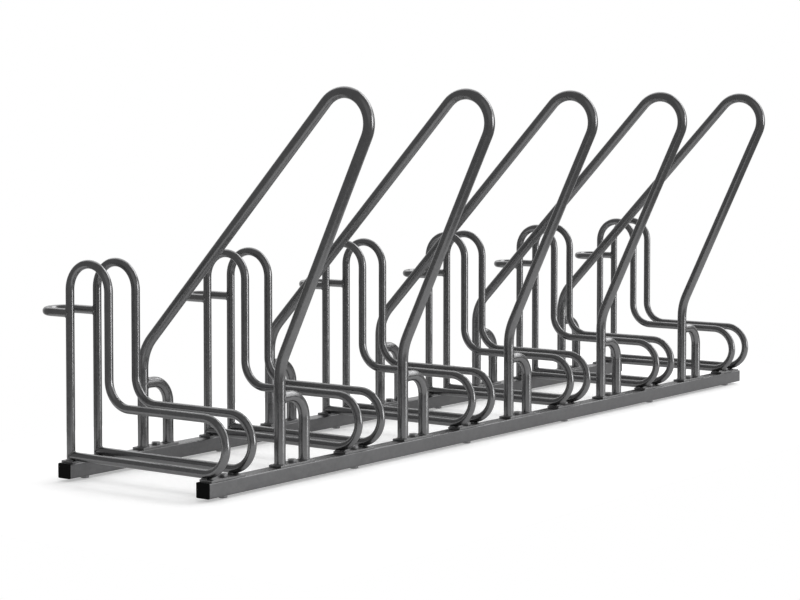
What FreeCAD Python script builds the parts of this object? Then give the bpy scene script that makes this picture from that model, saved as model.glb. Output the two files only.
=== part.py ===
"""Floor bike rack for parking bicycles nose-in, side by side.

Two rectangular rails lie parallel on the floor. A row of wheel holders crosses them: each is a pair of
bent tube loops with a rear bow that closes the slot behind the wheel. Between two holders stands a tall
arch that leans out over the front rail, for leaning and locking the frames, with a short bent brace at
each foot. Holders and arches are welded to flat bar plates, and the plates are bolted to the rails.

Millimetres. X runs along the row, the front is towards -Y, Z is up from the floor. The origin is on the
floor under the middle of the whole rack. Most side profiles are drawn as (reach, height): reach counts
forwards from the axis of the rear rail.
"""
import FreeCAD, Part
import math
import os

Vector = FreeCAD.Vector

# ---- the row
holder_count = 6
holder_pitch = 500.0
rail_spacing = 450.0             # between the rails' axes
rail_overhang = 68.0             # rail beyond the axis of the last holder
arch_offset = 254.0              # from a holder's middle to the middle of the next arch's feet

# ---- rails: rectangular tube, lifted off the floor by the nuts under it
rail_width = 40.0
rail_height = 37.0
rail_wall = 2.0
rail_corner = 3.5                # outer corner radius

# ---- plastic end caps of the rails
cap_thickness = 3.0
cap_edge = 0.8                   # rounding of the cap's outer rim
cap_plug_length = 20.0
cap_plug_wall = 2.0
cap_plug_gap = 0.8               # between the plug's core and the rail's inside
cap_rib_gap = 0.1                # between the plug's ribs and the rail's inside
cap_rib_count = 3
cap_rib_thickness = 1.6
cap_least_corner = 0.3           # the plug's corners are never sharper than this

# ---- foot plates: flat bar across the top of the rails
plate_thickness = 5.0
plate_width = 38.0
holder_plate_margin = 3.0        # plate beyond the outer side of the loops
arch_plate_margin = 5.0          # plate beyond the outer side of leg and brace
plate_edge = 0.6                 # broken edges along the plate's top

# ---- wheel holders: two bent tube loops
holder_tube = 21.3
holder_wall = 2.0
wheel_gap = 71.5                 # clear width between the two loops
holder_bend = 65.0               # bend radius at the tube's axis, the same in every bend of the loop
holder_height = 541.8            # top of the loops above the floor
nose_reach = 511.2               # foremost point of the loops, from the rear rail's axis

# ---- rear bow of each holder: a level half circle with straight ends
bow_height = 409.0
bow_reach = 118.7                # rearmost point, behind the rear rail's axis

# ---- arches
arch_tube = 28.0
arch_wall = 2.0
arch_height = 958.0
arch_reach = 284.2               # foremost point, in front of the front rail's axis
arch_top_bend = 73.4
rear_knee_height = 294.0         # where the rear leg's straight stretches would meet
rear_knee_bend = 116.0
front_knee_height = 286.0
front_knee_bend = 154.0

# ---- braces at the arch feet
brace_height = 210.6             # axis of the level stretch
brace_spacing = 92.3             # between the axes of the leg and of the brace's own foot
brace_bend = 56.3

# ---- fasteners
bolt_diameter = 12.0
hex_across_flats = 19.0
bolt_head_height = 7.5
nut_height = 7.5
bolt_end_recess = 0.5            # the bolt ends this much inside the nut
thread_gap = 0.1                 # radial, between a bolt and what it is screwed into
bolt_hole_gap = 0.75             # radial, in plates and rails
hex_chamfer_angle = 30.0
bolt_end_chamfer = 1.2

# ---- rivet nuts in the rails' top wall, under the arches
rivet_nut_diameter = 16.0
rivet_nut_length = 20.0
rivet_nut_collar = 21.0
rivet_nut_collar_height = 3.0
rivet_nut_gap = 0.15             # radial, in the rail's hole

# ---- coped tube ends
cope_tip = 3.0                   # a coped end stops this far from the axis of the tube that it lands on

# ---- two coordinates nearer than this are taken as the same when an edge is picked
same_place = 0.001

# ---- places that follow from the sizes above
holder_radius = holder_tube / 2
arch_radius = arch_tube / 2
loop_spacing = wheel_gap + holder_tube
rail_bottom = nut_height
rail_top = rail_bottom + rail_height
plate_top = rail_top + plate_thickness
rail_length = (holder_count - 1) * holder_pitch + 2 * rail_overhang
foremost = rail_spacing + arch_reach
origin_reach = (foremost - bow_reach) / 2
holder_places = [(i - (holder_count - 1) / 2) * holder_pitch for i in range(holder_count)]
arch_places = [x + arch_offset for x in holder_places[:-1]]
rail_reaches = {"rear": 0.0, "front": rail_spacing}


def at(x, reach, height):
    """A point of the rack from its place along the row, its reach and its height."""
    return Vector(x, origin_reach - reach, height)


def line(start, end):
    return Part.LineSegment(start, end).toShape()


def bend(centre, start, end):
    """The arc of under half a turn round centre from start to end."""
    radius = (start - centre).Length
    middle = (start + end) * 0.5 - centre
    return Part.Arc(start, centre + middle.normalize() * radius, end).toShape()


def half_turn(start, end, outwards):
    """The half circle from start to end that bulges in the direction outwards."""
    middle = (start + end) * 0.5
    radius = (end - start).Length / 2
    return Part.Arc(start, middle + outwards * radius, end).toShape()


def rounded_corner(before, corner, after, radius):
    """Where a bend of this radius leaves and joins the two straight runs at a corner, and its centre."""
    back = (before - corner).normalize()
    on = (after - corner).normalize()
    half_angle = back.getAngle(on) / 2
    reach = radius / math.tan(half_angle)
    centre = corner + (back + on).normalize() * (radius / math.sin(half_angle))
    return corner + back * reach, corner + on * reach, centre


def round_bar(edges, radius):
    """A round bar along a path of straight runs and tangent arcs."""
    path = Part.Wire(edges)
    start = path.Vertexes[0].Point
    direction = path.Edges[0].tangentAt(path.Edges[0].FirstParameter)
    section = Part.Wire(Part.makeCircle(radius, start, direction))
    return path.makePipeShell([section], True, False)


def upright_bar(x, reach, bottom, top, radius):
    return Part.makeCylinder(radius, top - bottom, at(x, reach, bottom), Vector(0, 0, 1))


def along_row(shape, x):
    """A copy of a piece that was made at the middle of the row."""
    return shape.translated(Vector(x, 0, 0))


def one_solid(shape):
    """The single solid inside a cut or fused shape."""
    return shape.removeSplitter().Solids[0]


# ------------------------------------------------------------------ rails and their caps
def rounded_rectangle(x, reach, width, height, radius, middle_height):
    """A closed outline across the row, as a rail's section has it."""
    side = width / 2
    top = height / 2
    corners = [(-side, -top), (side, -top), (side, top), (-side, top)]
    points = [at(x, reach + u, middle_height + v) for u, v in corners]
    edges = []
    for i, corner in enumerate(points):
        before, after = points[i - 1], points[(i + 1) % 4]
        leave, join, centre = rounded_corner(before, corner, after, radius)
        edges.append(bend(centre, leave, join))
        next_leave = rounded_corner(corner, after, points[(i + 2) % 4], radius)[0]
        edges.append(line(join, next_leave))
    return Part.Wire(edges)


def prism_along_row(x, length, reach, width, height, radius):
    middle_height = rail_bottom + rail_height / 2
    outline = rounded_rectangle(x, reach, width, height, radius, middle_height)
    return Part.Face(outline).extrude(Vector(length, 0, 0))


def rail(side):
    """A rail: through holes under the holders, and wider holes in its top wall for the rivet nuts."""
    reach = rail_reaches[side]
    start = -rail_length / 2
    inner = (rail_width - 2 * rail_wall, rail_height - 2 * rail_wall, rail_corner - rail_wall)
    tube = prism_along_row(start, rail_length, reach, rail_width, rail_height, rail_corner)
    tube = tube.cut(prism_along_row(start, rail_length, reach, *inner))
    hole = bolt_diameter / 2 + bolt_hole_gap
    wide_hole = rivet_nut_diameter / 2 + rivet_nut_gap
    holes = [upright_bar(x, reach, 0, plate_top, hole) for x in holder_places]
    inside = rail_bottom + rail_height / 2
    holes += [upright_bar(x, reach, inside, plate_top, wide_hole) for x in arch_places]
    return one_solid(tube.cut(holes))


def end_cap(side, end):
    """A push-in cap: a flush head with a rounded rim, and a ribbed hollow plug. end is -1 or 1."""
    reach = rail_reaches[side]
    face = end * rail_length / 2
    head = prism_along_row(face, end * cap_thickness, reach, rail_width, rail_height, rail_corner)
    outer_face = face + end * cap_thickness
    rim = [e for e in head.Edges if all(abs(v.X - outer_face) < same_place for v in e.Vertexes)]
    head = head.makeFillet(cap_edge, rim)

    def layer(gap, start, length):
        shrink = 2 * (rail_wall + gap)
        radius = max(rail_corner - rail_wall - gap, cap_least_corner)
        size = (rail_width - shrink, rail_height - shrink, radius)
        return prism_along_row(start, -end * length, reach, *size)

    plug = layer(cap_plug_gap, face, cap_plug_length)
    rib_step = cap_plug_length / (cap_rib_count + 1)
    for i in range(cap_rib_count):
        plug = plug.fuse(layer(cap_rib_gap, face - end * rib_step * (i + 1), cap_rib_thickness))
    hollow = layer(cap_plug_gap + cap_plug_wall, face, cap_plug_length)
    return one_solid(head.fuse(plug.cut(hollow)))


# ------------------------------------------------------------------ foot plates
def foot_plate(side, length):
    """Flat bar on top of the rail, with a bolt hole in its middle and broken top edges."""
    corner = at(-length / 2, rail_reaches[side] + plate_width / 2, rail_top)
    plate = Part.makeBox(length, plate_width, plate_thickness, corner)
    top_edges = [e for e in plate.Edges if all(abs(v.Z - plate_top) < same_place for v in e.Vertexes)]
    plate = plate.makeChamfer(plate_edge, top_edges)
    hole = bolt_diameter / 2 + bolt_hole_gap
    return one_solid(plate.cut(upright_bar(0, rail_reaches[side], rail_bottom, holder_height, hole)))


# ------------------------------------------------------------------ wheel holders
def loop_path():
    """The loop's axis from the top of its upright round to the foot of the upright again.

    Over the top, down, forwards, round the nose and back along the plates. Every bend has one radius.
    """
    shoulder = holder_height - holder_radius - holder_bend
    low = plate_top + holder_radius
    high = low + 2 * holder_bend
    drop = 2 * holder_bend
    nose = nose_reach - holder_radius - holder_bend
    knee_reach = drop + holder_bend
    knee_height = high + holder_bend
    forward = Vector(0, -1, 0)
    return [
        half_turn(at(0, 0, shoulder), at(0, drop, shoulder), Vector(0, 0, 1)),
        line(at(0, drop, shoulder), at(0, drop, knee_height)),
        bend(at(0, knee_reach, knee_height), at(0, drop, knee_height), at(0, knee_reach, high)),
        line(at(0, knee_reach, high), at(0, nose, high)),
        half_turn(at(0, nose, high), at(0, nose, low), forward),
        line(at(0, nose, low), at(0, cope_tip, low)),
    ]


def holder_loop():
    """One loop: a single bent tube whose coped end is welded to its own upright.

    The upright's wall stays whole behind the joint, and only the bottom run's end is coped.
    """
    path = loop_path()
    shoulder = holder_height - holder_radius - holder_bend
    inner = holder_radius - holder_wall
    upright = upright_bar(0, 0, plate_top, shoulder, holder_radius)
    bore = upright_bar(0, 0, plate_top, shoulder, inner)
    bent = round_bar(path, holder_radius)
    bent_bore = round_bar(path, inner).cut(upright)
    return one_solid(upright.fuse(bent).cut([bore, bent_bore]))


def rear_bow():
    """The bow behind a holder: its two straight ends are coped to sit on the uprights."""
    half = loop_spacing / 2
    straight_end = -(bow_reach - holder_radius - half)
    backward = Vector(0, 1, 0)
    left_end = at(-half, -cope_tip, bow_height)
    right_end = at(half, -cope_tip, bow_height)
    left_turn = at(-half, straight_end, bow_height)
    right_turn = at(half, straight_end, bow_height)
    path = [line(left_end, left_turn), half_turn(left_turn, right_turn, backward),
            line(right_turn, right_end)]
    tube = round_bar(path, holder_radius).cut(round_bar(path, holder_radius - holder_wall))
    uprights = [upright_bar(s * half, 0, plate_top, holder_height, holder_radius) for s in (-1, 1)]
    return one_solid(tube.cut(uprights))


# ------------------------------------------------------------------ arches and braces
def tangent_point(start, centre, radius, turn):
    """Where a straight run from start touches the circle round centre. turn is 1 or -1 for the side.

    All three lie in one plane across the row. turn 1 passes the centre on its rear and upper side.
    """
    to_centre = centre - start
    tilt = math.asin(radius / to_centre.Length)
    run = math.sqrt(to_centre.Length ** 2 - radius ** 2)
    direction = FreeCAD.Rotation(Vector(1, 0, 0), math.degrees(-turn * tilt)).multVec(to_centre)
    return start + direction.normalize() * run


def arch_path():
    """The arch's axis: up the rear leg, over the top bend and down the front leg."""
    x = -brace_spacing / 2
    top_height = arch_height - arch_radius - arch_top_bend
    top_reach = foremost - arch_radius - arch_top_bend
    centre = at(x, top_reach, top_height)
    rear_foot, front_foot = at(x, 0, plate_top), at(x, rail_spacing, plate_top)
    rear_knee, front_knee = at(x, 0, rear_knee_height), at(x, rail_spacing, front_knee_height)
    rear_top = tangent_point(rear_knee, centre, arch_top_bend, 1)
    front_top = tangent_point(front_knee, centre, arch_top_bend, -1)
    rear_leave, rear_join, rear_centre = rounded_corner(
        rear_foot, rear_knee, rear_top, rear_knee_bend)
    front_join, front_leave, front_centre = rounded_corner(
        front_top, front_knee, front_foot, front_knee_bend)
    summit = centre + ((rear_top + front_top) * 0.5 - centre).normalize() * arch_top_bend
    return [
        line(rear_foot, rear_leave),
        bend(rear_centre, rear_leave, rear_join),
        line(rear_join, rear_top),
        Part.Arc(rear_top, summit, front_top).toShape(),
        line(front_top, front_join),
        bend(front_centre, front_join, front_leave),
        line(front_leave, front_foot),
    ]


def arch():
    """One arch: its legs stand on the plates' left ends."""
    path = arch_path()
    return one_solid(round_bar(path, arch_radius).cut(round_bar(path, arch_radius - arch_wall)))


def brace(side):
    """A brace: level from the arch's leg, bent down to the other end of the same plate.

    Its level end is coped to sit on the leg.
    """
    reach = rail_reaches[side]
    leg = -brace_spacing / 2
    foot = brace_spacing / 2
    turn = at(foot - brace_bend, reach, brace_height)
    drop = at(foot, reach, brace_height - brace_bend)
    centre = at(foot - brace_bend, reach, brace_height - brace_bend)
    path = [line(at(leg + cope_tip, reach, brace_height), turn), bend(centre, turn, drop),
            line(drop, at(foot, reach, plate_top))]
    tube = round_bar(path, arch_radius).cut(round_bar(path, arch_radius - arch_wall))
    return one_solid(tube.cut(upright_bar(leg, reach, plate_top, arch_height, arch_radius)))


# ------------------------------------------------------------------ fasteners
def hexagon(reach, bottom, height, chamfered_ends):
    """A hexagonal block whose corners are turned off to a cone at the named ends."""
    corner = hex_across_flats / math.sqrt(3)
    flat = hex_across_flats / 2
    ring = [at(corner * math.cos(math.radians(60 * i)),
               reach + corner * math.sin(math.radians(60 * i)), bottom) for i in range(7)]
    block = Part.Face(Part.makePolygon(ring)).extrude(Vector(0, 0, height))
    drop = (corner - flat) * math.tan(math.radians(hex_chamfer_angle))
    profile = [Vector(0, 0, 0), Vector(corner, 0, 0), Vector(corner, 0, height), Vector(0, 0, height)]
    if "bottom" in chamfered_ends:
        profile[1:2] = [Vector(flat, 0, 0), Vector(corner, 0, drop)]
    if "top" in chamfered_ends:
        profile[-2:-1] = [Vector(corner, 0, height - drop), Vector(flat, 0, height)]
    profile = Part.Face(Part.makePolygon(profile + [profile[0]]))
    turned = profile.revolve(Vector(0, 0, 0), Vector(0, 0, 1), 360)
    turned.translate(at(0, reach, bottom))
    return block.common(turned)


def bolt(side, end):
    """A hexagon head bolt from above: the head sits on the plate and the shank ends at height end."""
    reach = rail_reaches[side]
    radius = bolt_diameter / 2
    head = hexagon(reach, plate_top, bolt_head_height, ["top"])
    shank = upright_bar(0, reach, end, plate_top, radius)
    rims = [e for e in shank.Edges if len(e.Vertexes) == 1]
    lowest = [e for e in rims if abs(e.Vertexes[0].Z - end) < same_place]
    shank = shank.makeChamfer(bolt_end_chamfer, lowest)
    return one_solid(head.fuse(shank))


def nut(side):
    """The nut under a rail. The rack stands on these."""
    reach = rail_reaches[side]
    block = hexagon(reach, 0, nut_height, ["bottom", "top"])
    return one_solid(block.cut(upright_bar(0, reach, 0, rail_bottom, bolt_diameter / 2 + thread_gap)))


def rivet_nut(side):
    """A threaded insert set in the rail's top wall: a sleeve with its collar pressed up below the wall."""
    reach = rail_reaches[side]
    foot = rail_top - rivet_nut_length
    under_wall = rail_top - rail_wall
    sleeve = upright_bar(0, reach, foot, rail_top, rivet_nut_diameter / 2)
    collar_bottom = under_wall - rivet_nut_collar_height
    collar = upright_bar(0, reach, collar_bottom, under_wall, rivet_nut_collar / 2)
    thread = upright_bar(0, reach, foot, rail_top, bolt_diameter / 2 + thread_gap)
    return one_solid(sleeve.fuse(collar).cut(thread))


# ------------------------------------------------------------------ the whole rack
def build():
    """Every sub-part by name. Fasteners of one kind share a name, each as its own solid."""
    parts = {}
    ends = {"left": -1, "right": 1}
    sides = list(rail_reaches)
    holder_plate_length = loop_spacing + holder_tube + 2 * holder_plate_margin
    arch_plate_length = brace_spacing + arch_tube + 2 * arch_plate_margin
    insert_bottom = rail_top - rivet_nut_length
    loop, bow, whole_arch = holder_loop(), rear_bow(), arch()

    def copies(piece, places):
        return [along_row(piece, x) for x in places]

    def at_all_feet(make, places):
        """The fasteners of one kind, on both rails."""
        return Part.Compound([copy for side in sides for copy in copies(make(side), places)])

    for side in sides:
        parts[f"rail_{side}"] = rail(side)
        for name, end in ends.items():
            parts[f"end_cap_{side}_{name}"] = end_cap(side, end)
        plate = foot_plate(side, holder_plate_length)
        for number, copy in enumerate(copies(plate, holder_places), 1):
            parts[f"holder_{number}_plate_{side}"] = copy
        parts[f"arch_plates_{side}"] = Part.Compound(copies(foot_plate(side, arch_plate_length), arch_places))
        for number, copy in enumerate(copies(brace(side), arch_places), 1):
            parts[f"arch_{number}_brace_{side}"] = copy
    for number, x in enumerate(holder_places, 1):
        parts[f"holder_{number}_bow"] = along_row(bow, x)
        for name, end in ends.items():
            parts[f"holder_{number}_loop_{name}"] = along_row(loop, x + end * loop_spacing / 2)
    for number, copy in enumerate(copies(whole_arch, arch_places), 1):
        parts[f"arch_{number}"] = copy
    parts["holder_bolts"] = at_all_feet(lambda side: bolt(side, bolt_end_recess), holder_places)
    parts["holder_nuts"] = at_all_feet(nut, holder_places)
    parts["arch_bolts"] = at_all_feet(lambda side: bolt(side, insert_bottom), arch_places)
    parts["arch_rivet_nuts"] = at_all_feet(rivet_nut, arch_places)
    return parts


os.makedirs("parts", exist_ok=True)
for node, shape in build().items():
    shape.exportStep(f"parts/{node}.step")
    print(node, "solids", len(shape.Solids), "valid", shape.isValid(), "volume", round(shape.Volume))
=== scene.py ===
"""The looks of a floor bike rack: zinc-coated bent tube on flat bar plates, bolted to rectangular rails.

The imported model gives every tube, rail, plate, cap and bolt. This script gives them their finishes,
lays the weld beads along the joints, and sets the floor, the lights and the camera.
"""
import bmesh
import bpy
import math
from mathutils import Euler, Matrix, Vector


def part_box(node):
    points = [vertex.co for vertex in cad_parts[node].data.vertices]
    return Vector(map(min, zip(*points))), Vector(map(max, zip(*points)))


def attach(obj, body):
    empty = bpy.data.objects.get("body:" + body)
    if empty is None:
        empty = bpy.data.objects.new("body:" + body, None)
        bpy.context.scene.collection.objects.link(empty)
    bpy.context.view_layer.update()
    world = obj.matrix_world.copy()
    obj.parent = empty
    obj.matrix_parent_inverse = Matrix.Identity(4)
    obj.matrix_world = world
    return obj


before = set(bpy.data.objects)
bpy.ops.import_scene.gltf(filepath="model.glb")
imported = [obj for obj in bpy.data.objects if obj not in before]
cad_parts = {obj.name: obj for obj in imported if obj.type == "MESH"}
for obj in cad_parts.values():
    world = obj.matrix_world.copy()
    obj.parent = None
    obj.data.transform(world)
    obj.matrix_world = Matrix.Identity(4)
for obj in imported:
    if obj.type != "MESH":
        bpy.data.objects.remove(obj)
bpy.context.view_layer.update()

# ---- camera, as the photograph has it (metres, degrees)
camera_place = (-4.863, -3.3171, 0.890)
camera_yaw = 36.386              # from the row's direction towards the rear
camera_pitch = -2.453
focal_length = 93.21             # millimetres
sensor_width = 36.0              # millimetres
camera_shift = -0.12             # share of the width

# ---- light
sky_level = 0.50                 # what falls on the rack from all around
room_level = 0.38                # what the metal shows of the room on the camera's side
backdrop_edges = (0.50, 0.82)    # cosines off the backdrop's middle, from all room to all white
floor_albedo = 0.80              # the grey of its surface
floor_glow = 0.33                # lifts the unshadowed floor to white
floor_half_size = (1.85, 0.88)   # along the row and across it, in metres
white = (1.0, 1.0, 1.0, 1.0)
lamps = {
    "overhead_lamp": {"azimuth": -8.0, "elevation": 38.0, "spread": 34.0, "strength": 1.4},
    "corner_lamp": {"azimuth": -40.0, "elevation": 24.0, "spread": 34.0, "strength": 0.7},
    "front_lamp": {"azimuth": -66.0, "elevation": 5.0, "spread": 27.0, "strength": 1.3},
    "rear_lamp": {"azimuth": 46.0, "elevation": 44.0, "spread": 52.0, "strength": 0.85},
    "fill_lamp": {"azimuth": -135.0, "elevation": 30.0, "spread": 60.0, "strength": 0.2},
}

# ---- base colours
tube_zinc = (0.138, 0.138, 0.140)
rail_zinc = (0.115, 0.115, 0.117)
bar_zinc = (0.145, 0.145, 0.147)
bolt_zinc = (0.20, 0.20, 0.203)
bead_zinc = (0.15, 0.15, 0.152)
cap_black = (0.0025, 0.0025, 0.0026)
grazing_tint = (0.75, 0.75, 0.75, 1.0)    # how the zinc reflects at a grazing angle

# ---- patterns in the zinc, as features to a metre
blotch_scale = 28.0
crystal_scale = 130.0
grain_scale = 1100.0
rail_lines = (4.0, 420.0, 420.0)          # long lines along the row
bar_lines = (60.0, 420.0, 420.0)          # short ones
tube_lines_around = 30.0                  # to a radian round the tube
tube_lines_along = 3.0
zinc_relief = 0.000006                    # metres

# ---- weld beads (metres)
bead_radius = 0.0021
bead_ripple_pitch = 0.0030
bead_ripple_depth = 0.16         # share of the bead's radius
bead_end = 0.55                  # the radius at an open end, as a share
points_per_ripple = 3
nose_bead_length = 0.016
nose_bead_rise = 0.0004
foot_steps = 48
saddle_steps = 72


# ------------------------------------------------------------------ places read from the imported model
def low(node):
    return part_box(node)[0]


def high(node):
    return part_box(node)[1]


def middle(node):
    return (low(node) + high(node)) / 2


holder_numbers = [n.split("_")[1] for n in sorted(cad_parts) if n.endswith("_bow")]
arch_numbers = [n.split("_")[1] for n in sorted(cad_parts) if n.endswith("_brace_rear")]
holder_radius = (high("holder_1_loop_left").x - low("holder_1_loop_left").x) / 2
arch_radius = (high("arch_1").x - low("arch_1").x) / 2
plate_top = high("holder_1_plate_rear").z
rail_axis = {side: middle(f"rail_{side}").y for side in ("rear", "front")}
along_row = Vector((1, 0, 0))
rearward = Vector((0, 1, 0))
upward = Vector((0, 0, 1))


# ------------------------------------------------------------------ materials
class Number:
    """A number or colour that varies over a surface. Arithmetic on it adds Math nodes."""

    def __init__(self, finish, socket):
        self.finish = finish
        self.socket = socket

    def __add__(self, other):
        return self.finish.maths("ADD", self, other)

    def __sub__(self, other):
        return self.finish.maths("SUBTRACT", self, other)

    def __rsub__(self, other):
        return self.finish.maths("SUBTRACT", other, self)

    def __mul__(self, other):
        return self.finish.maths("MULTIPLY", self, other)

    __radd__ = __add__
    __rmul__ = __mul__


class Finish:
    """One material, built node by node."""

    def __init__(self, name):
        self.material = bpy.data.materials.new(name)
        self.material.use_nodes = True
        self.tree = self.material.node_tree
        self.tree.nodes.clear()

    def add(self, kind, settings, sockets, output=0):
        """A node of this kind: its settings first, then a value or a link for each socket."""
        node = self.tree.nodes.new("ShaderNode" + kind)
        for name, value in settings.items():
            setattr(node, name, value)
        for name, value in sockets.items():
            if isinstance(value, Number):
                self.tree.links.new(value.socket, node.inputs[name])
            else:
                node.inputs[name].default_value = value
        return Number(self, node.outputs[output]) if len(node.outputs) else None

    def maths(self, operation, *values):
        """A Math node on these values."""
        return self.add("Math", {"operation": operation}, dict(enumerate(values)))

    def place(self):
        """Where a point lies on the rack."""
        return self.add("TexCoord", {}, {}, "Object")

    def part(self, vector, axis):
        """How far a vector goes along X, Y or Z."""
        return self.add("SeparateXYZ", {}, {"Vector": vector}, axis)

    def noise(self, vector, scale, detail=3.0, roughness=0.55):
        """Noise from -1 to 1, with features of about 1 / scale metres."""
        sockets = {"Vector": vector, "Scale": scale, "Detail": detail, "Roughness": roughness}
        level = self.add("TexNoise", {"noise_dimensions": "3D"}, sockets)
        return level * 2.0 - 1.0

    def lines(self, vector, factors):
        """Noise drawn out into lines: each direction of the vector is multiplied by its factor."""
        stretched = self.add("VectorMath", {"operation": "MULTIPLY"}, {0: vector, 1: factors})
        return self.noise(stretched, 1.0, detail=4.0)

    def crystals(self, vector, scale):
        """One level from -1 to 1 for each zinc crystal."""
        colour = self.add("TexVoronoi", {"feature": "F1"}, {"Vector": vector, "Scale": scale}, "Color")
        red = self.add("SeparateColor", {}, {"Color": colour}, "Red")
        return red * 2.0 - 1.0

    def grey(self, level):
        """A colour with this level in all three of its parts."""
        return self.add("CombineColor", {}, {"Red": level, "Green": level, "Blue": level})

    def tinted(self, colour, level):
        """The colour multiplied by a level that varies."""
        settings = {"data_type": "RGBA", "blend_type": "MULTIPLY"}
        first_colour, second_colour, result = 6, 7, 2      # the Mix node's places for its colours
        sockets = {"Factor": 1.0, first_colour: (*colour, 1.0), second_colour: self.grey(level)}
        return self.add("Mix", settings, sockets, result)

    def bump(self, height, distance, normal=None):
        """Relief that follows a pattern, this distance deep in metres, on a rounded normal if given."""
        sockets = {"Height": height, "Strength": 1.0, "Distance": distance}
        if normal is not None:
            sockets["Normal"] = normal
        return self.add("Bump", {}, sockets)

    def surface(self, **sockets):
        """Ends the material with this shader. Underscores stand for spaces in socket names."""
        named = {name.replace("_", " "): value for name, value in sockets.items()}
        shader = self.add("BsdfPrincipled", {}, named)
        self.add("OutputMaterial", {}, {"Surface": shader})
        return self.material


def tube_lines(finish, bend_axis):
    """Fine lines along a tube whose bends all turn about this axis.

    The angle round such a tube is the angle between its normal and that axis.
    """
    normal = finish.add("NewGeometry", {}, {}, "Normal")
    angle = finish.maths("ARCCOSINE", finish.part(normal, bend_axis))
    place = finish.place()
    along = [finish.part(place, axis) * tube_lines_along for axis in "XYZ" if axis != bend_axis]
    sockets = {"X": angle * tube_lines_around, "Y": along[0], "Z": along[1]}
    return finish.noise(finish.add("CombineXYZ", {}, sockets), 1.0, detail=4.0, roughness=0.6)


def zinc(name, colour, roughness, bend_axis=None, straight_lines=bar_lines, edge_radius=0.0):
    """Dull zinc on steel: cloudy blotches, faint crystals, a fine grain and drawn lines.

    The lines follow a tube bent about bend_axis, and are straight on anything else.
    """
    finish = Finish(name)
    place = finish.place()
    blotches = finish.noise(place, blotch_scale, detail=4.0)
    crystals = finish.crystals(place, crystal_scale)
    grain = finish.noise(place, grain_scale, detail=2.0)
    drawn = tube_lines(finish, bend_axis) if bend_axis else finish.lines(place, straight_lines)
    level = 1.0 + blotches * 0.10 + crystals * 0.05 + grain * 0.10 + drawn * 0.07
    rough = roughness + blotches * 0.03 + crystals * 0.02 - drawn * 0.03
    height = grain * 0.6 + drawn * 0.4
    rounded = finish.add("Bevel", {"samples": 4}, {"Radius": edge_radius}) if edge_radius else None
    return finish.surface(
        Base_Color=finish.tinted(colour, level), Roughness=rough, Metallic=0.92,
        Specular_Tint=grazing_tint, Normal=finish.bump(height, zinc_relief, rounded))


def cap_plastic():
    """Black plastic with a fine moulded grain."""
    finish = Finish("black_cap_plastic")
    place = finish.place()
    grain = finish.noise(place, 1600.0, detail=2.0)
    clouds = finish.noise(place, 60.0)
    return finish.surface(
        Base_Color=finish.tinted(cap_black, 1.0 + clouds * 0.25 + grain * 0.2),
        Roughness=0.58 + clouds * 0.08, Specular_IOR_Level=0.04,
        Normal=finish.bump(grain, 0.00006))


def weld_metal():
    """The beads: the same zinc over a rougher skin, with the spatter's fine grain."""
    finish = Finish("zinc_on_weld")
    place = finish.place()
    skin = finish.noise(place, 700.0)
    clouds = finish.noise(place, 90.0)
    return finish.surface(
        Base_Color=finish.tinted(bead_zinc, 1.0 + clouds * 0.2 + skin * 0.2),
        Roughness=0.42 + skin * 0.1, Metallic=0.9, Specular_Tint=grazing_tint,
        Normal=finish.bump(skin, 0.00012))


finishes = {
    "rail": zinc("zinc_on_rail", rail_zinc, 0.34, straight_lines=rail_lines, edge_radius=0.0008),
    "plate": zinc("zinc_on_plate", bar_zinc, 0.38, edge_radius=0.0005),
    "loop": zinc("zinc_on_holder_loop", tube_zinc, 0.24, bend_axis="X"),
    "bow": zinc("zinc_on_holder_bow", tube_zinc, 0.24, bend_axis="Z"),
    "arch": zinc("zinc_on_arch", tube_zinc, 0.24, bend_axis="X"),
    "brace": zinc("zinc_on_brace", tube_zinc, 0.24, bend_axis="Y"),
    "bolt": zinc("zinc_on_bolt", bolt_zinc, 0.30, edge_radius=0.0004),
    "cap": cap_plastic(),
    "bead": weld_metal(),
}


def finish_of(node):
    """Which finish a node of the rack has, by what its name says it is."""
    words = node.split("_")
    for word in ("loop", "bow", "brace", "cap"):
        if word in words:
            return word
    if "bolts" in words or "nuts" in words:
        return "bolt"
    if "plate" in words or "plates" in words:
        return "plate"
    return words[0]


for node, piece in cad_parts.items():
    piece.data.materials.clear()
    piece.data.materials.append(finishes[finish_of(node)])


# ------------------------------------------------------------------ weld beads
def evenly(points, closed):
    """Points along the same route, with points_per_ripple of them to each ripple."""
    route = [Vector(p) for p in points]
    if closed:
        route.append(route[0])
    lengths = [(b - a).length for a, b in zip(route, route[1:])]
    total = sum(lengths)
    count = max(3, round(total / bead_ripple_pitch)) * points_per_ripple
    made = []
    leg = 0
    walked = 0.0
    for i in range(count if closed else count + 1):
        at = total * i / count
        while leg < len(lengths) - 1 and at > walked + lengths[leg]:
            walked += lengths[leg]
            leg += 1
        share = (at - walked) / lengths[leg]
        made.append(route[leg].lerp(route[leg + 1], share))
    return made


def rippled_bead(curve, points, closed):
    """One bead along the points, swelling and narrowing as it was laid down."""
    spline = curve.splines.new("POLY")
    spline.points.add(len(points) - 1)
    spline.use_cyclic_u = closed
    last = len(points) - 1
    for i, point in enumerate(points):
        swell = 1.0 + bead_ripple_depth * math.cos(2 * math.pi * i / points_per_ripple)
        if not closed and i in (0, last):
            swell = bead_end
        spline.points[i].co = (*point, 1.0)
        spline.points[i].radius = swell


def foot_arc(x, y, radius, turn):
    """Round the foot of an upright tube, on top of its plate, for a turn that starts on its right."""
    centre = Vector((x, y, plate_top))
    angles = [math.radians(turn * i / foot_steps) for i in range(foot_steps + 1)]
    return [centre + Vector((math.cos(a), math.sin(a), 0)) * radius for a in angles]


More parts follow.
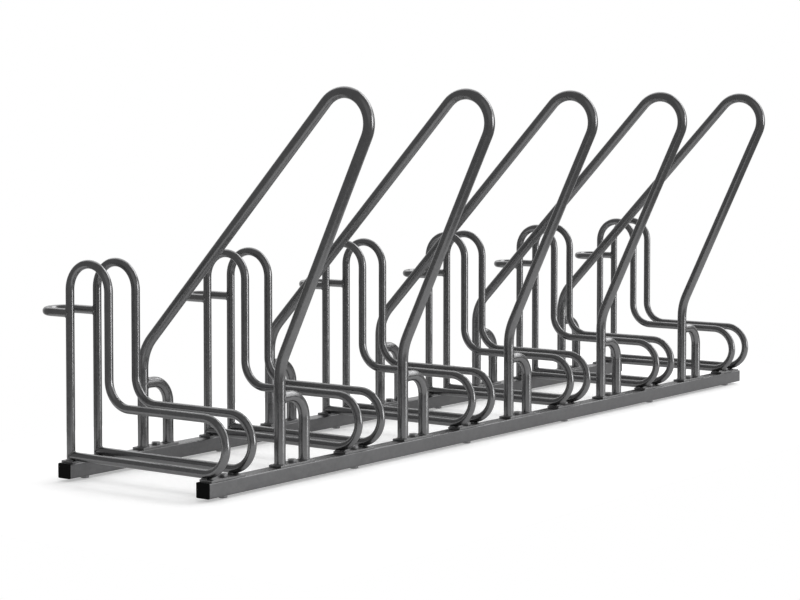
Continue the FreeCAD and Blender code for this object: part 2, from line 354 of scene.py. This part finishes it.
def saddle(centre, branch, main, radius):
    """Where a tube meets another of its own size square on: branch and main are their directions."""
    side = branch.cross(main)
    points = []
    for i in range(saddle_steps):
        angle = 2 * math.pi * i / saddle_steps
        along = radius * abs(math.sin(angle))
        points.append(centre + branch * along + side * radius * math.cos(angle)
                      + main * radius * math.sin(angle))
    return points


def groove_offset(radius):
    """How far beside a lying tube's axis a bead sits that touches the tube and the plate."""
    return 2 * math.sqrt(radius * bead_radius)


def holder_routes(number):
    """The beads of one wheel holder, each as (points, closed)."""
    routes = []
    rear = rail_axis["rear"]
    offset = groove_offset(holder_radius)
    seam_height = plate_top + bead_radius / 2
    seam_start = low(f"holder_{number}_plate_rear").y + bead_radius
    nose_start = high(f"holder_{number}_plate_front").y - bead_radius
    bow_height = middle(f"holder_{number}_bow").z
    for end in ("left", "right"):
        x = middle(f"holder_{number}_loop_{end}").x
        # one seam, along the lying tube's right side, round the back of the upright and along the left
        right = [Vector((x + offset, y, seam_height)) for y in (seam_start, rear - holder_radius)]
        back = foot_arc(x, rear, holder_radius, 180)
        left = [Vector((x - offset, p.y, p.z)) for p in reversed(right)]
        routes.append((right + back + left, False))
        lying_joint = Vector((x, rear, plate_top + holder_radius))
        routes.append((saddle(lying_joint, -rearward, upward, holder_radius), True))
        bow_joint = Vector((x, rear, bow_height))
        routes.append((saddle(bow_joint, rearward, upward, holder_radius), True))
        for sideways in (-offset, offset):
            start = Vector((x + sideways, nose_start, seam_height))
            nose_end = start + Vector((0, -nose_bead_length, nose_bead_rise))
            routes.append(([start, nose_end], False))
    return routes


def arch_routes(number):
    """The beads of one arch and its two braces, each as (points, closed)."""
    routes = []
    leg_x = middle(f"arch_{number}").x
    for side in ("rear", "front"):
        y = rail_axis[side]
        brace_corner = high(f"arch_{number}_brace_{side}")
        for x in (leg_x, brace_corner.x - arch_radius):
            routes.append((foot_arc(x, y, arch_radius, 360)[:-1], True))
        joint = Vector((leg_x, y, brace_corner.z - arch_radius))
        routes.append((saddle(joint, along_row, upward, arch_radius), True))
    return routes


def lay_welds(name, routes):
    """All the beads of one holder or arch, as one closed-skinned piece."""
    curve = bpy.data.curves.new(name, "CURVE")
    curve.dimensions = "3D"
    curve.bevel_depth = bead_radius
    curve.bevel_resolution = 1
    curve.use_fill_caps = True
    for points, closed in routes:
        rippled_bead(curve, evenly(points, closed), closed)
    source = bpy.data.objects.new(name + "_route", curve)
    mesh = bpy.data.meshes.new_from_object(source)
    mesh.name = name
    bpy.data.objects.remove(source)
    shape = bmesh.new()
    shape.from_mesh(mesh)
    bmesh.ops.remove_doubles(shape, verts=shape.verts, dist=1e-6)
    bmesh.ops.recalc_face_normals(shape, faces=shape.faces)
    for face in shape.faces:
        face.smooth = True
    shape.to_mesh(mesh)
    shape.free()
    mesh.materials.clear()
    mesh.materials.append(finishes["bead"])
    piece = bpy.data.objects.new(name, mesh)
    bpy.context.scene.collection.objects.link(piece)
    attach(piece, "root")


for number in holder_numbers:
    lay_welds(f"holder_{number}_welds", holder_routes(number))
for number in arch_numbers:
    lay_welds(f"arch_{number}_welds", arch_routes(number))


# ------------------------------------------------------------------ floor, light and camera
def seen_directly(finish):
    """1 for what the camera sees."""
    return finish.add("LightPath", {}, {}, "Is Camera Ray")


def seen_in_gloss(finish):
    """1 for what shows in metal or through glass."""
    rays = [finish.add("LightPath", {}, {}, ray) for ray in ("Is Glossy Ray", "Is Transmission Ray")]
    return finish.maths("MAXIMUM", *rays)


def studio_floor():
    """A pale floor that keeps the rack's shadow and fades into the white around it."""
    finish = Finish("studio_floor")
    grain = finish.noise(finish.place(), 6.0)
    matt = finish.add("BsdfDiffuse", {}, {"Color": finish.grey(floor_albedo + grain * 0.004)})
    seen = seen_directly(finish) + seen_in_gloss(finish)
    glow = finish.add("Emission", {}, {"Strength": seen * floor_glow})
    both = finish.add("AddShader", {}, {0: matt, 1: glow})
    finish.add("OutputMaterial", {}, {"Surface": both})
    finish.material.cycles.emission_sampling = "NONE"
    shape = bmesh.new()
    bmesh.ops.create_grid(shape, x_segments=1, y_segments=1, size=1.0)
    bmesh.ops.scale(shape, vec=(*floor_half_size, 1.0), verts=shape.verts)
    mesh = bpy.data.meshes.new("studio_floor")
    shape.to_mesh(mesh)
    shape.free()
    mesh.materials.append(finish.material)
    floor = bpy.data.objects.new("studio_floor", mesh)
    bpy.context.scene.collection.objects.link(floor)


class SkyFinish(Finish):
    """The world's own nodes."""

    def __init__(self, name):
        world = bpy.data.worlds.new(name)
        world.use_nodes = True
        world.cycles.sampling_method = "NONE"
        bpy.context.scene.world = world
        self.tree = world.node_tree
        self.tree.nodes.clear()


def studio_sky():
    """Soft light from all around, seen as plain white.

    The metal shows the white backdrop behind the rack, and the dimmer room on the camera's side.
    """
    finish = SkyFinish("studio_sky")
    direction = finish.add("TexCoord", {}, {}, "Generated")
    yaw = math.radians(camera_yaw)
    backdrop = (math.cos(yaw), math.sin(yaw), 0.0)
    towards = finish.add("VectorMath", {"operation": "DOT_PRODUCT"}, {0: direction, 1: backdrop}, "Value")
    room_edge, white_edge = backdrop_edges
    sockets = {"Value": towards, "From Min": room_edge, "From Max": white_edge,
               "To Min": room_level, "To Max": 1.0}
    behind = finish.add("MapRange", {"interpolation_type": "SMOOTHSTEP"}, sockets)
    eye = seen_directly(finish)
    gloss = seen_in_gloss(finish)
    strength = eye + gloss * behind + (1.0 - eye - gloss) * sky_level
    glow = finish.add("Background", {}, {"Color": white, "Strength": strength})
    finish.add("OutputWorld", {}, {"Surface": glow})


def soft_lamp(name, azimuth, elevation, spread, strength):
    """A wide, even light that shines from azimuth and elevation, in degrees."""
    data = bpy.data.lights.new(name, "SUN")
    data.energy = strength
    data.angle = math.radians(spread)
    lamp = bpy.data.objects.new(name, data)
    lamp.rotation_euler = Euler((0, math.radians(90 - elevation), math.radians(azimuth)))
    bpy.context.scene.collection.objects.link(lamp)


def photo_camera():
    """The camera at the photograph's place and angle."""
    data = bpy.data.cameras.new("photo_camera")
    data.sensor_fit = "HORIZONTAL"
    data.sensor_width = sensor_width
    data.lens = focal_length
    data.shift_y = camera_shift
    camera = bpy.data.objects.new("photo_camera", data)
    camera.location = camera_place
    camera.rotation_euler = Euler((math.radians(90 + camera_pitch), 0, math.radians(camera_yaw - 90)))
    bpy.context.scene.collection.objects.link(camera)
    bpy.context.scene.camera = camera


studio_floor()
studio_sky()
for lamp_name, lamp_values in lamps.items():
    soft_lamp(lamp_name, **lamp_values)
photo_camera()
bpy.context.scene.view_settings.view_transform = "Standard"
